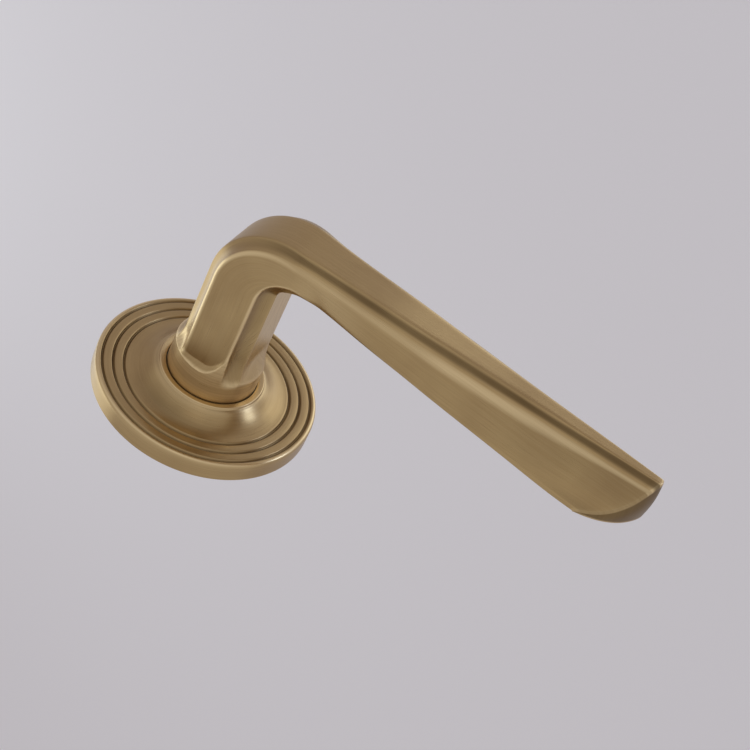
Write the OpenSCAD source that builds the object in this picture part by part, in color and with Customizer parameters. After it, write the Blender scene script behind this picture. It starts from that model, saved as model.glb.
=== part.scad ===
// Door lever handle on a round reeded rose, one side of the door.
// Row frame: X across the door (the lever points to -X), Y through the door (the door's face is Y = 0
// and the handle stands out of it towards -Y), Z up. The spindle axis is the Y axis.

/* [Rose] */
// Diameter of the rose
rose_d = 57; // [54:0.5:62]
// Thickness of the rose at its reeded rim
rim_h = 5.2; // [4.8:0.1:6.2]
// Height of the raised lip around the neck
lip_h = 9.3; // [9.1:0.1:9.8]
// Wall thickness of the rose
rose_wall = 1.2; // [1:0.05:1.4]
// Width of each groove in the rim
reed_w = 0.55; // [0.3:0.05:0.8]
// Depth of each groove in the rim
reed_depth = 0.4; // [0.2:0.05:0.5]

/* [Lever] */
// Distance from the door's face to the front of the grip
projection = 60; // [56:0.5:70]
// Distance from the spindle axis to the tip of the grip
reach = 106.5; // [95:0.5:125]
// Diameter of the round collar that enters the rose
neck_d = 23.2; // [22.6:0.1:23.4]
// Distance between the two flat sides of the neck
neck_w = 20; // [18:0.2:20.4]
// Distance between the inner and outer faces of the neck
neck_deep = 17.8; // [16.5:0.1:18.4]
// Width of the narrow band along the neck and elbow
band_w = 11.8; // [10:0.1:12.4]
// Width of that band at the tip
band_tip_w = 1.8; // [1:0.1:3]
// Thickness of the grip from its band to its back
grip_t = 10; // [9:0.1:12]
// Width of the grip just past the elbow
grip_w = 12.6; // [12:0.1:15]
// How much thicker the grip grows towards the tip
grip_bow = 1.2; // [0:0.1:2]
// Greatest width of the grip, near the tip
paddle_w = 25.2; // [24:0.2:28]
// Radius of the outside of the elbow
elbow_r = 18.2; // [18:0.2:21]
// Radius of the inside of the elbow
crook_r = 5.5; // [4.5:0.1:6]
// Radius of each side of the pointed tip
tip_arc_r = 18.7; // [18:0.1:24]

/* [Spindle and fixing] */
// Side of the square spindle
spindle_w = 8; // [7.6:0.1:8]
// How far the half spindle stands out behind the door's face
spindle_out = 20; // [15:0.5:35]
// Distance between the two bolt studs
stud_centres = 38; // [37.6:0.1:38.4]
// Diameter of the bolt studs where they enter the door
stud_d = 7.5; // [7:0.1:8]
// Length of the bolt studs behind the door's face
stud_out = 8.5; // [6:0.5:12]

/* [Motion] */
// How far the lever turns from rest to its stop, in degrees
travel = 45; // [30:1:45]

/* [Hidden] */
$fn = 96;
eps = 0.01;         // overlap between pieces of one solid
fit = 0.05;         // radial running clearance
seat = 0.02;        // gap between faces that bear on each other
brass = [0.60, 0.49, 0.33];
steel = [0.62, 0.63, 0.65];
zinc = [0.55, 0.56, 0.57];
nylon = [0.86, 0.85, 0.80];

// Rose profile
rose_r = rose_d / 2;
rim_round = 0.9;                     // radius of the rim's bright front edge
reed_r = [for (k = [0:2]) rose_r - 1.65 - 2.75 * k];
sweep_r = rose_r - 7.7;              // radius where the reeded flat turns into the bell
lip_r = neck_d / 2 + 0.35;           // inner radius of the lip
lip_w = 1.6;                         // width of the lip's round bead
bell_r = lip_r + lip_w + 0.4;        // radius where the bell meets the bead
bell_h = lip_h - 0.8;                // height of the bell there
cover_in_r = rose_r - rose_wall;
cover_in_h = rim_h - rose_wall;
ring_h = 1;                          // height of the nylon guide ring
ring_top = lip_h - lip_w / 2;
ring_r = neck_d / 2 + 1.05;
ring_low = ring_top - ring_h;

// Neck, journal and driver heights, measured out from the door's face
shoulder_h = ring_low - 0.2;         // underside of the collar
key_h = 0.8;                         // thickness of the keyed step and of the driver
bush_h = shoulder_h - key_h - seat;  // front end of the bearing bush
boss_h = bush_h - 0.4;
plate_h = 3;
recess_h = 2.4;
journal_r = 7.8;
journal_end = -1;
groove_low = 0.08;                   // circlip groove
groove_w = 1.04;
groove_r = journal_r - 0.65;
bush_r = 9.3;
boss_r = 11.6;
key_r = 9.2;
key_flat = 7.9;                      // half distance over the key's flats
driver_r = 12.7;
spring_r = boss_r + 0.75;            // mean radius of the return spring
spring_wire = 1;
pin_r = 0.8;
pin_circle = 10.4;
pin_angle = 90 + travel / 2;         // each stop pin at rest, at one end of its slot
slot_gap = 0.3;
plate_r = cover_in_r - 0.3;
snap_wire = 1;
snap_h = 1.5;

// Neck and grip
neck_r = neck_d / 2;
collar_h = 16.5;                     // front end of the round collar
socket_h = 32;                       // front end of the square socket
socket_w = spindle_w + 0.1;
grub_h = 13;                         // grub screw's height above the door's face
grub_r = 2.5;
front_y = projection - elbow_r;      // where the neck's outer face turns into the elbow
back_h = projection - grip_t;        // distance from the door's face to the grip's back
corner_in = 3.1;                     // how deep the coves cut in from the neck's faces
elbow_x = elbow_r - neck_deep / 2;   // elbow's outer centre
crook_x = neck_deep / 2 + crook_r;   // elbow's inner centre
grip_len = reach - elbow_x;
tip_x = reach - sqrt(pow(tip_arc_r, 2) - pow(tip_arc_r - paddle_w / 2 - 0.54, 2));
tip_z = tip_arc_r - paddle_w / 2 - 0.54;

function mix(a, b, t) = a + (b - a) * t;
function clamp01(t) = min(1, max(0, t));
function smooth(t) = let (c = clamp01(t)) c * c * (3 - 2 * c);

// Stations along the lever. Each one is [outer point, inner point, elbow turn 0 to 1, distance], where a
// point is [x, height above the door].
function neck_station(t) = [
    [-neck_deep / 2, mix(collar_h - 3, front_y, t)],
    [neck_deep / 2, mix(collar_h - 3, back_h - crook_r, t)], 0, -10
];
function elbow_station(t) = [
    [elbow_x - elbow_r * cos(90 * t), front_y + elbow_r * sin(90 * t)],
    [crook_x - crook_r * cos(90 * t), back_h - crook_r + crook_r * sin(90 * t)], t, 10 * t - 10
];
function grip_station(d) = [
    [elbow_x + d, projection],
    [mix(crook_x, reach + 1, d / (grip_len + 1)), back_h - grip_bow * smooth((d - 30) / 50)], 1, d
];
neck_steps = 7;
elbow_steps = 9;
grip_steps = 16;
stations = concat(
    [for (i = [0:neck_steps - 1]) neck_station(i / neck_steps)],
    [for (i = [0:elbow_steps - 1]) elbow_station(i / elbow_steps)],
    [for (i = [0:grip_steps]) grip_station((grip_len + 1) * pow(i / grip_steps, 1.4))]
);

// A smooth curve through a few [distance, value] points.
function curve_at(points, x) =
    let (
        n = len(points), i = max([for (k = [0:n - 2]) x >= points[k][0] ? k : 0]),
        p1 = points[i], p2 = points[i + 1], p0 = points[max(0, i - 1)], p3 = points[min(n - 1, i + 2)],
        w = p2[0] - p1[0], t = clamp01((x - p1[0]) / w),
        m1 = i == 0 ? (p2[1] - p1[1]) / w : (p2[1] - p0[1]) / (p2[0] - p0[0]),
        m2 = i == n - 2 ? (p2[1] - p1[1]) / w : (p3[1] - p1[1]) / (p3[0] - p1[0])
    )
    (2 * t * t * t - 3 * t * t + 1) * p1[1] + (t * t * t - 2 * t * t + t) * w * m1
    + (3 * t * t - 2 * t * t * t) * p2[1] + (t * t * t - t * t) * w * m2;

// Half widths along the lever: the band, the ridge beside it, the side edge and the back. The distance runs
// from minus 10 where the elbow starts, through 0 where it ends, to the tip.
half_w = paddle_w / 2;
band_points = [
    [-10, band_w / 2], [0, band_w / 2], [12, band_w / 2 - 0.8], [30, band_w / 2 - 1.5],
    [45, band_w / 2 - 2.5], [75, band_w / 2 - 3.8], [grip_len, band_tip_w / 2]
];
ridge_points = [
    [-10, neck_w / 2], [-4, neck_w / 2 - 0.2], [4, grip_w / 2 + 2.2], [10, grip_w / 2 + 1.7],
    [20, grip_w / 2 + 1.3], [31, grip_w / 2 + 0.9], [50, grip_w / 2], [76, grip_w / 2 - 2.1],
    [grip_len, band_tip_w / 2 + 2.2]
];
edge_points = [
    [-10, neck_w / 2], [-5, neck_w / 2 - 0.4], [-1, neck_w / 2 - 1.7], [4, grip_w / 2 + 0.7],
    [9, grip_w / 2 + 1], [20, grip_w / 2 + 2.4], [30, grip_w / 2 + 3.4], [42, half_w - 1.8],
    [62, half_w - 0.7], [79, half_w + 0.4], [grip_len, half_w + 0.6]
];
cove_points = [[-10, corner_in], [-5, 2.4], [0, 2.5], [10, 2.7], [70, 2.5], [grip_len, 1.8]];
inner_cove_points = [[-10, corner_in], [-5, 2.6], [0, 1.2], [4, 0.25], [grip_len, 0.25]];

// One half of a cross-section as [share of the way in from the outer face, half width]. The cove beside the
// band leaves it steeply and flattens towards the ridge. A smaller one rounds the inner corner of the neck.
cove_steps = 4;
cove_lean = 0.27;                    // half width per depth where the cove leaves the band
function bezier(a, v, b, t) = (1 - t) * (1 - t) * a + 2 * t * (1 - t) * v + t * t * b;
function half_section(d, deep) =
    let (
        w = curve_at(band_points, d), r = curve_at(ridge_points, d), e = curve_at(edge_points, d),
        a = curve_at(cove_points, d), c = curve_at(inner_cove_points, d),
        back = mix(band_w / 2, e - c / 2, smooth(1 + d / 10)),
        slope = mix(0.3, 0.73, smooth((d + 8) / 14)),
        knee = max(0.1, (a - slope * (r - w)) / (1 - cove_lean * slope)),
        corner = [knee, w + cove_lean * knee]
    )
    concat(
        [for (i = [0:cove_steps])
            let (p = bezier([0, w], corner, [a, r], i / cove_steps)) [p[0] / deep, p[1]]],
        [for (i = [0:2]) let (q = 45 * i) [1 - c * cos(q) / deep, e - (e - back) * sin(q)]]
    );
function ring(s) =
    let (
        deep = norm(s[0] - s[1]), half = half_section(s[3], deep), n = len(half) - 1,
        loop = concat(half, [[1 + 0.9 * s[2] / deep, 0]], [for (i = [n:-1:0]) [half[i][0], -half[i][1]]])
    )
    [for (p = loop) let (q = mix(s[0], s[1], p[0])) [-q[0], p[1], q[1]]];

rings = [for (s = stations) ring(s)];
ring_n = len(rings[0]);
ring_count = len(rings);
sweep_points = [for (r = rings) each r];
sweep_faces = concat(
    [[for (i = [0:ring_n - 1]) i]],
    [for (k = [0:ring_count - 2], i = [0:ring_n - 1])
        let (a = k * ring_n + i, b = k * ring_n + (i + 1) % ring_n) [a, a + ring_n, b]],
    [for (k = [0:ring_count - 2], i = [0:ring_n - 1])
        let (a = k * ring_n + i, b = k * ring_n + (i + 1) % ring_n) [b, a + ring_n, b + ring_n]],
    [[for (i = [ring_n - 1:-1:0]) (ring_count - 1) * ring_n + i]]
);

// Stands a shape drawn with its height along Z out of the door, towards -Y.
module out_of_door() rotate([90, 0, 0]) children();
module disc(r, low, high) translate([0, 0, low]) cylinder(r = r, h = high - low);
module washer(r_in, r_out, low, high) difference() {
    disc(r_out, low, high);
    disc(r_in, low - 1, high + 1);
}
module square_bar(w, low, high) translate([-w / 2, -w / 2, low]) cube([w, w, high - low]);
module key_shape(r, flat, low, high) intersection() {
    disc(r, low, high);
    translate([-r, -flat, low]) cube([2 * r, 2 * flat, high - low]);
}

// The pointed end of the grip: two arcs that meet on the centre line.
module tip_outline() intersection() {
    translate([-tip_x, tip_z]) circle(r = tip_arc_r);
    translate([-tip_x, -tip_z]) circle(r = tip_arc_r);
}
module tip_cutter() translate([0, 0, back_h - 5]) linear_extrude(height = grip_t + 10) difference() {
    translate([-reach - 10, -paddle_w]) square([reach + 10 - tip_x, 2 * paddle_w]);
    tip_outline();
}

module lever() color(brass) out_of_door() difference() {
    union() {
        polyhedron(points = sweep_points, faces = sweep_faces, convexity = 6);
        disc(neck_r, shoulder_h, collar_h);
        key_shape(key_r, key_flat, shoulder_h - key_h, shoulder_h + eps);
        disc(journal_r, journal_end, shoulder_h);
    }
    tip_cutter();
    square_bar(socket_w, journal_end - 1, socket_h);
    washer(groove_r, journal_r + 1, groove_low, groove_low + groove_w);
    translate([0, -neck_r - 1, grub_h]) rotate([-90, 0, 0]) cylinder(r = grub_r + seat, h = neck_r + 1);
}

module spindle() color(steel) out_of_door()
    square_bar(spindle_w, -spindle_out, socket_h - 1);

grub_low = spindle_w / 2 + seat;
grub_len = neck_r - 0.9 - grub_low;
module spindle_grub_screw() color(steel)
    out_of_door() translate([0, -grub_low, grub_h]) rotate([90, 0, 0]) difference() {
        cylinder(r = grub_r, h = grub_len);
        translate([0, 0, grub_len - 2.2]) cylinder(r = 1.44, h = 3, $fn = 6);
    }

// Rose: the rim is a flat with three grooves, then a bell sweeps up to the bead around the neck.
function bell(r) =
    let (t = clamp01((r - bell_r) / (sweep_r - bell_r)))
    rim_h + (bell_h - rim_h) * pow(1 - t, 2);
inner_bell_r = bell_r - 0.8;
function inner_bell(r) =
    let (t = clamp01((r - inner_bell_r) / (sweep_r - inner_bell_r)))
    cover_in_h + (ring_low - cover_in_h) * pow(1 - t, 2);
function arc_points(centre, r, turn, step) = [for (q = [0:step:turn]) centre + r * [cos(q), sin(q)]];
module rose_cover() color(brass) out_of_door() difference() {
    rotate_extrude() polygon(concat(
        [[cover_in_r, 0], [rose_r, 0]],
        arc_points([rose_r - rim_round, rim_h - rim_round], rim_round, 90, 15),
        [for (r = [sweep_r:-0.8:bell_r]) [r, bell(r)]],
        [[bell_r, bell_h]],
        arc_points([lip_r + lip_w / 2, ring_top], lip_w / 2, 180, 20),
        [[ring_r + fit, ring_top], [ring_r + fit, ring_low]],
        [for (r = [inner_bell_r:0.8:sweep_r]) [r, inner_bell(r)]],
        [[cover_in_r, cover_in_h]],
        [for (h = [0.65, 0.35, -0.35, -0.65]) [cover_in_r + (abs(h) < 0.5 ? 0.25 : 0), snap_h + h]]
    ));
    for (r = reed_r) washer(r - reed_w / 2, r + reed_w / 2, rim_h - reed_depth, rim_h + 1);
}

module rose_guide_ring() color(nylon) out_of_door()
    washer(neck_r + fit, ring_r, ring_low + seat, ring_top - seat);

module cover_snap_ring() color(steel) out_of_door() translate([0, 0, snap_h])
    rotate(75) rotate_extrude(angle = 330) translate([cover_in_r - 0.3, 0]) circle(d = snap_wire, $fn = 24);

// Mounting plate, with the boss that carries the bush and the spring.
nut_flats = 7;
nut_pocket_h = 1.5;
shank_r = 2.5;
module at_studs() for (s = [-1, 1]) translate([s * stud_centres / 2, 0, 0]) children();
module mounting_plate() color(zinc) out_of_door() difference() {
    union() {
        disc(plate_r, 0, plate_h);
        disc(boss_r, plate_h - eps, boss_h);
    }
    washer(plate_r - 0.6, plate_r + 1, snap_h - 0.6, snap_h + 0.6);
    disc(bush_r + seat, -1, boss_h + 1);
    disc(12.4, -1, recess_h);
    at_studs() {
        disc(shank_r + fit, -1, plate_h + 1);
        disc(4.4, nut_pocket_h, plate_h + 1);
    }
    for (s = [0, 180]) rotate(s + pin_angle) translate([pin_circle, 0, plate_h + seat])
        cylinder(r = pin_r + seat, h = boss_h);
    rotate(spring_turns * 360) translate([spring_r, 0, 1]) cylinder(d = spring_wire + 0.3, h = plate_h);
}

module support_studs() color(steel) out_of_door() at_studs() difference() {
    union() {
        disc(stud_d / 2, -stud_out, -seat);
        disc(shank_r, -seat - eps, plate_h + 0.3);
    }
    disc(1.65, -stud_out - 1, plate_h + 1);
}
module stud_nuts() color(steel) out_of_door() at_studs() difference() {
    translate([0, 0, nut_pocket_h + 0.45]) cylinder(d = nut_flats / cos(30), h = 1.6, $fn = 6);
    disc(shank_r + seat, 0, plate_h + 2);
}
module stud_lock_washers() color(steel) out_of_door() at_studs() difference() {
    washer(shank_r + fit, 3.9, nut_pocket_h + seat, nut_pocket_h + 0.43);
    rotate(60) translate([0, -0.3, 0]) cube([5, 0.6, 4]);
}

module bearing_bush() color(nylon) out_of_door() difference() {
    union() {
        disc(bush_r, recess_h - 0.5, bush_h);
        disc(11.4, recess_h - 0.5, recess_h - seat);
    }
    disc(journal_r + fit, 0, bush_h + 1);
}

// Spring driver: a disc keyed to the lever. Its two curved slots run on the stop pins.
module slot_arc(low, high) {
    w = pin_r + slot_gap;
    first = pin_angle - travel;
    rotate(first) rotate_extrude(angle = travel)
        translate([pin_circle - w, low]) square([2 * w, high - low]);
    for (a = [first, pin_angle]) rotate(a) translate([pin_circle, 0, 0]) disc(w, low, high);
}
module spring_driver() color(steel) out_of_door() difference() {
    disc(driver_r, bush_h + seat, shoulder_h - seat);
    key_shape(key_r + fit, key_flat + fit, bush_h - 1, shoulder_h + 1);
    for (s = [0, 180]) rotate(s) slot_arc(bush_h - 1, shoulder_h + 1);
    translate([spring_r, 0, bush_h - 1]) cylinder(d = spring_wire + 0.3, h = 3);
    translate([spring_r, -0.65, bush_h - 1]) cube([2, 1.3, 3]);
}

module stop_pins() color(steel) out_of_door() for (s = [0, 180])
    rotate(s + pin_angle) translate([pin_circle, 0, 0])
        disc(pin_r, plate_h + 2 * seat, shoulder_h - slot_gap);

// Torsion spring around the boss: one leg down into the plate, the other up into the driver.
spring_turns = 2.3;
coil_low = plate_h + spring_wire / 2 + 0.08;
coil_high = bush_h - spring_wire / 2 - 0.3;
leg_low = 1.15;
leg_high = shoulder_h - 0.15;
coil_per_turn = 20;
wire_sides = 8;
coil_n = floor(spring_turns * coil_per_turn);
// The coil starts at the driver's notch and ends over the hole in the plate.
coil_path = [for (i = [0:coil_n]) let (a = 360 * spring_turns * i / coil_n)
    [spring_r * cos(a), spring_r * sin(a), mix(coil_high, coil_low, i / coil_n)]];
function coil_frame(i) = let (a = 360 * spring_turns * i / coil_n) [cos(a), sin(a), 0];
module return_spring() color(steel) out_of_door() {
    last = 360 * spring_turns;
    r = spring_wire / 2;
    union() {
        polyhedron(
            points = [for (i = [0:coil_n], k = [0:wire_sides - 1]) let (q = 360 * k / wire_sides)
                coil_path[i] + r * cos(q) * coil_frame(i) + [0, 0, r * sin(q)]],
            faces = concat(
                [[for (k = [wire_sides - 1:-1:0]) k]],
                [for (i = [0:coil_n - 1], k = [0:wire_sides - 1])
                    let (a = i * wire_sides + k, b = i * wire_sides + (k + 1) % wire_sides)
                    [a, b, b + wire_sides, a + wire_sides]],
                [[for (k = [0:wire_sides - 1]) coil_n * wire_sides + k]]
            ),
            convexity = 8
        );
        translate([spring_r, 0, 0]) disc(r, coil_high - 0.1, leg_high);
        rotate(last) translate([spring_r, 0, 0]) disc(r, leg_low, coil_low + 0.1);
    }
}

// Wave washer: a thin ring with three waves that takes up end play.
wave_low = 1.45;
wave_t = 0.2;
wave_amp = 0.1;
wave_n = 48;
function wave_h(a) = wave_low + wave_amp + wave_amp * sin(3 * a);
module wave_washer() color(steel) out_of_door() {
    corner = [[8.1, 0], [10.9, 0], [10.9, wave_t], [8.1, wave_t]];
    polyhedron(
        points = [for (i = [0:wave_n - 1], c = corner) let (a = 360 * i / wave_n)
            [c[0] * cos(a), c[0] * sin(a), wave_h(a) + c[1]]],
        faces = [for (i = [0:wave_n - 1], k = [0:3], half = [0, 1])
            let (a = i * 4 + k, b = i * 4 + (k + 1) % 4,
                c = ((i + 1) % wave_n) * 4 + k, d = ((i + 1) % wave_n) * 4 + (k + 1) % 4)
            half == 0 ? [a, c, b] : [b, c, d]],
        convexity = 4
    );
}
module thrust_washer() color(steel) out_of_door()
    washer(journal_r + 0.15, 11, groove_low + groove_w + seat, wave_low - seat);

// Circlip: an open ring with two lugs that have holes for the pliers.
module circlip() color(steel) out_of_door() translate([0, 0, groove_low + seat]) linear_extrude(height = 1) {
    gap = 16;
    difference() {
        union() {
            circle(r = 9.4);
            for (s = [-1, 1]) rotate(-90 + s * gap) translate([10, 0]) circle(r = 1.7);
        }
        circle(r = groove_r + seat);
        for (s = [-1, 1]) rotate(-90 + s * gap) translate([10.1, 0]) circle(r = 0.7);
        polygon([[0, 0], for (s = [-1, 1]) 14 * [cos(-90 + s * (gap - 8)), sin(-90 + s * (gap - 8))]]);
    }
}

lever();
spindle();
spindle_grub_screw();
rose_cover();
rose_guide_ring();
cover_snap_ring();
mounting_plate();
support_studs();
stud_nuts();
stud_lock_washers();
bearing_bush();
spring_driver();
return_spring();
stop_pins();
wave_washer();
thrust_washer();
circlip();
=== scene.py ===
"""Looks of the door lever handle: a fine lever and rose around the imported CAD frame, procedural metals,
a pale floor and soft studio light. Shapes are worked out in millimetres and turned into metres when a
mesh is made. Points are (x, z, height): x runs from the spindle towards the tip, and height is the
distance out of the door (-Y). In a section, depth runs from the lever's front face inwards."""

import math

import bmesh
import bpy
from mathutils import Euler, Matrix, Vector


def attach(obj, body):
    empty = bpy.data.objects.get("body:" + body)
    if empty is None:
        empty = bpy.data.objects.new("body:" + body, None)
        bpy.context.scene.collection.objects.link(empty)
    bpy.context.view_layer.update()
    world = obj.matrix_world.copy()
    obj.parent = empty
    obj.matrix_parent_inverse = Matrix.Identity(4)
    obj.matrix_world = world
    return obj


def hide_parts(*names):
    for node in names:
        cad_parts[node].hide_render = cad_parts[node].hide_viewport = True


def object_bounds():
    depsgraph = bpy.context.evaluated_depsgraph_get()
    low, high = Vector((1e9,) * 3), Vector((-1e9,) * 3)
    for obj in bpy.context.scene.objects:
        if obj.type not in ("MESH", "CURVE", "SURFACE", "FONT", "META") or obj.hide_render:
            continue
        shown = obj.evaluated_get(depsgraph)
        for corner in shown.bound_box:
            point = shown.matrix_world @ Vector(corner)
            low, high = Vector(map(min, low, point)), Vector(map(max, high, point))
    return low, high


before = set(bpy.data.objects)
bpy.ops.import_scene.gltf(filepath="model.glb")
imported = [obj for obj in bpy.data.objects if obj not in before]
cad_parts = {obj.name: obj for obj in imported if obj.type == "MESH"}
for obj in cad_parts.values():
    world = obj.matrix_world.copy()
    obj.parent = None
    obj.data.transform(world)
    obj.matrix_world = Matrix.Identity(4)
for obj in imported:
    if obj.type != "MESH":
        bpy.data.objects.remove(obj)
cad_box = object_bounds()
MM = 0.001

# ---- Sizes shared with the CAD model, in millimetres ----
ROSE_R = 28.5
RIM_H = 5.2
RIM_ROUND = 0.9
REED_R = [26.85, 24.1, 21.35]
REED_HALF = 0.55
REED_DEPTH = 0.5
REED_CROWN = 0.06
SWEEP_R = 20.8
COVER_IN_R = 27.3
COVER_IN_H = 4.0
LIP_H = 9.3
LIP_R = 11.78
BELL_R = 14.1
BELL_H = 8.45
GUIDE_R = 12.7
GUIDE_LOW = 7.5
GUIDE_TOP = 8.5
SNAP_H = 1.5

NECK_R = 11.6
NECK_W = 20.0
NECK_DEEP = 17.8
COLLAR_H = 16.5
SHOULDER_H = 7.3
KEY_H = 6.5
KEY_R = 9.2
KEY_FLAT = 7.9
JOURNAL_R = 7.8
JOURNAL_END = -1.0
GROOVE_R = 7.15
GROOVE_LOW = 0.08
GROOVE_TOP = 1.12
SOCKET_HALF = 4.05
SOCKET_H = 32.0
GRUB_H = 13.0
GRUB_R = 2.52
PROJECTION = 60.0
REACH = 106.5
GRIP_T = 10.0
GRIP_W = 12.6
GRIP_BOW = 1.2
PADDLE_W = 25.2
BAND_W = 11.8
BAND_TIP_W = 1.8
ELBOW_R = 18.2
CROOK_R = 5.5
CORNER_IN = 3.1
TIP_ARC_R = 18.7

FRONT_H = PROJECTION - ELBOW_R
BACK_H = PROJECTION - GRIP_T
ELBOW_X = ELBOW_R - NECK_DEEP / 2
CROOK_X = NECK_DEEP / 2 + CROOK_R
GRIP_LEN = REACH - ELBOW_X
NECK_LOW = COLLAR_H - 3
HALF_W = PADDLE_W / 2
# The tip's two arcs meet in a slightly rounded point at z = 0 and reach a little past the paddle's half
# width.
TIP_ARC_SPARE = 0.54
TIP_POINT_R = 0.4
TIP_Z = TIP_ARC_R - HALF_W - TIP_ARC_SPARE
TIP_X = REACH - math.sqrt(TIP_ARC_R**2 - TIP_Z**2)

# Half widths, and depths of the two coves, along the lever as (distance, value). The distance is
# -ELBOW_SPAN on the neck and where the elbow starts, 0 where the elbow ends, and then the length along
# the grip.
ELBOW_SPAN = 10
BAND_POINTS = [
    (-ELBOW_SPAN, BAND_W / 2), (0, BAND_W / 2), (12, BAND_W / 2 - 0.8), (30, BAND_W / 2 - 1.5),
    (45, BAND_W / 2 - 2.5), (75, BAND_W / 2 - 3.8), (GRIP_LEN, BAND_TIP_W / 2),
]
RIDGE_POINTS = [
    (-ELBOW_SPAN, NECK_W / 2), (-4, NECK_W / 2 - 0.2), (4, GRIP_W / 2 + 2.2), (10, GRIP_W / 2 + 1.7),
    (20, GRIP_W / 2 + 1.3), (31, GRIP_W / 2 + 0.9), (50, GRIP_W / 2), (76, GRIP_W / 2 - 2.1),
    (GRIP_LEN, BAND_TIP_W / 2 + 2.2),
]
EDGE_POINTS = [
    (-ELBOW_SPAN, NECK_W / 2), (-5, NECK_W / 2 - 0.4), (-1, NECK_W / 2 - 1.7), (4, GRIP_W / 2 + 0.7),
    (9, GRIP_W / 2 + 1), (20, GRIP_W / 2 + 2.4), (30, GRIP_W / 2 + 3.4), (42, HALF_W - 1.8),
    (62, HALF_W - 0.7), (79, HALF_W + 0.4), (GRIP_LEN, HALF_W + 0.6),
]
COVE_POINTS = [(-ELBOW_SPAN, CORNER_IN), (-5, 2.4), (0, 2.5), (10, 2.7), (70, 2.5), (GRIP_LEN, 1.8)]
INNER_POINTS = [(-ELBOW_SPAN, CORNER_IN), (-5, 2.6), (0, 1.4), (4, 0.9), (GRIP_LEN, 0.9)]


# ---- Small maths ----
def mix(a, b, t):
    return a + (b - a) * t


def smooth(t):
    t = min(1.0, max(0.0, t))
    return t * t * (3 - 2 * t)


def eased(x, start, end):
    """0 at start and 1 at end, smooth between them and level beyond both."""
    return smooth((x - start) / (end - start))


def near(x, centre, reach):
    """1 at the centre, falling smoothly to 0 at the reach on either side."""
    return smooth(1 - abs(x - centre) / reach)


def curve_at(points, x):
    """A smooth curve through a few (distance, value) points."""
    last = len(points) - 1
    i = max(k for k in range(last) if k == 0 or x >= points[k][0])
    p1, p2 = points[i], points[i + 1]
    p0, p3 = points[max(0, i - 1)], points[min(last, i + 2)]
    w = p2[0] - p1[0]
    t = min(1.0, max(0.0, (x - p1[0]) / w))
    chord = (p2[1] - p1[1]) / w
    m1 = chord if i == 0 else (p2[1] - p0[1]) / (p2[0] - p0[0])
    m2 = chord if i == last - 1 else (p3[1] - p1[1]) / (p3[0] - p1[0])
    return (
        (2 * t**3 - 3 * t * t + 1) * p1[1] + (t**3 - 2 * t * t + t) * w * m1
        + (3 * t * t - 2 * t**3) * p2[1] + (t**3 - t * t) * w * m2
    )


def path_length(path):
    return sum(math.dist(a, b) for a, b in zip(path, path[1:]))


def path_point(path, s):
    """The point at length s along a path of straight pieces."""
    for a, b in zip(path, path[1:]):
        step = math.dist(a, b)
        if s <= step and step > 0:
            return (mix(a[0], b[0], s / step), mix(a[1], b[1], s / step))
        s -= step
    return path[-1]


def bezier(a, v, b, t):
    """A point of the curve that leaves a towards v and comes to b from v."""
    return tuple((1 - t) ** 2 * a[c] + 2 * t * (1 - t) * v[c] + t * t * b[c] for c in (0, 1))


CORNER_SHARE = 0.45


def rounded(segments, counts, fillets, fillet_counts):
    """Joins paths end to end with rounded corners. Each path gives counts[i] + 1 points, and the corner
    after it gives fillet_counts[i] points. fillets[i] holds the corner's lengths before and after it; at
    most CORNER_SHARE of a path is given to each."""
    lengths = [path_length(s) for s in segments]
    before = [min(f[0], CORNER_SHARE * lengths[i]) for i, f in enumerate(fillets)] + [0.0]
    after = [0.0] + [min(f[1], CORNER_SHARE * lengths[i + 1]) for i, f in enumerate(fillets)]
    points = []
    for i, seg in enumerate(segments):
        end = lengths[i] - before[i]
        points += [path_point(seg, mix(after[i], end, k / counts[i])) for k in range(counts[i] + 1)]
        if i < len(fillets):
            start, corner = path_point(seg, end), seg[-1]
            finish = path_point(segments[i + 1], after[i + 1])
            steps = fillet_counts[i] + 1
            points += [bezier(start, corner, finish, k / steps) for k in range(1, steps)]
    return points


# ---- Lever: half of a cross-section as (depth, half width) points, front centre to back centre ----
# How many steps each part of the section has, and how many points go round the corner that follows it.
BAND_N, COVE_N, SIDE_N, INNER_N = 4, 7, 20, 7
BAND_CORNER_N, RIDGE_CORNER_N, EDGE_CORNER_N, BACK_CORNER_N = 4, 7, 4, 3
FRONT_COUNT = (BAND_N + 1) + BAND_CORNER_N + (COVE_N + 1) + RIDGE_CORNER_N + (SIDE_N + 1)
CORNER_COUNT = EDGE_CORNER_N + (INNER_N + 1) + BACK_CORNER_N
HALF_COUNT = 2 * FRONT_COUNT + CORNER_COUNT
RING_COUNT = 2 * HALF_COUNT - 2
COVE_FROM = BAND_N + 1 + BAND_CORNER_N
INNER_FROM = FRONT_COUNT + EDGE_CORNER_N
PATH_STEPS = 12
# The cove leans out from the band at COVE_LEAN and meets the ridge at the end slope, which is given for
# the neck and for the grip.
COVE_LEAN = 0.27
COVE_END_SLOPES = (0.3, 0.73)
KNEE_LEAST = 0.1
# How far the side panel hollows near the tip, and how much smaller the corners become there.
SIDE_SAG = 0.9
TIP_CRISPNESS = 0.4
# The grip's back: how far it is set in from the edges, how far it bulges, and how its points are spread.
BACK_INSET = 0.9
BACK_CROWN = 0.9
BACK_FOLLOW = 0.7
BACK_SHARE = 0.995
# Lengths of the corners before and after them, on the neck and then along the grip.
BAND_CORNER = ((0.55, 0.5), (1.0, 0.8))
RIDGE_CORNER = ((0.8, 1.1), (1.1, 2.1))
EDGE_CORNER = (0.8, 0.8)
BACK_CORNER = (0.45, 0.45)


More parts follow.
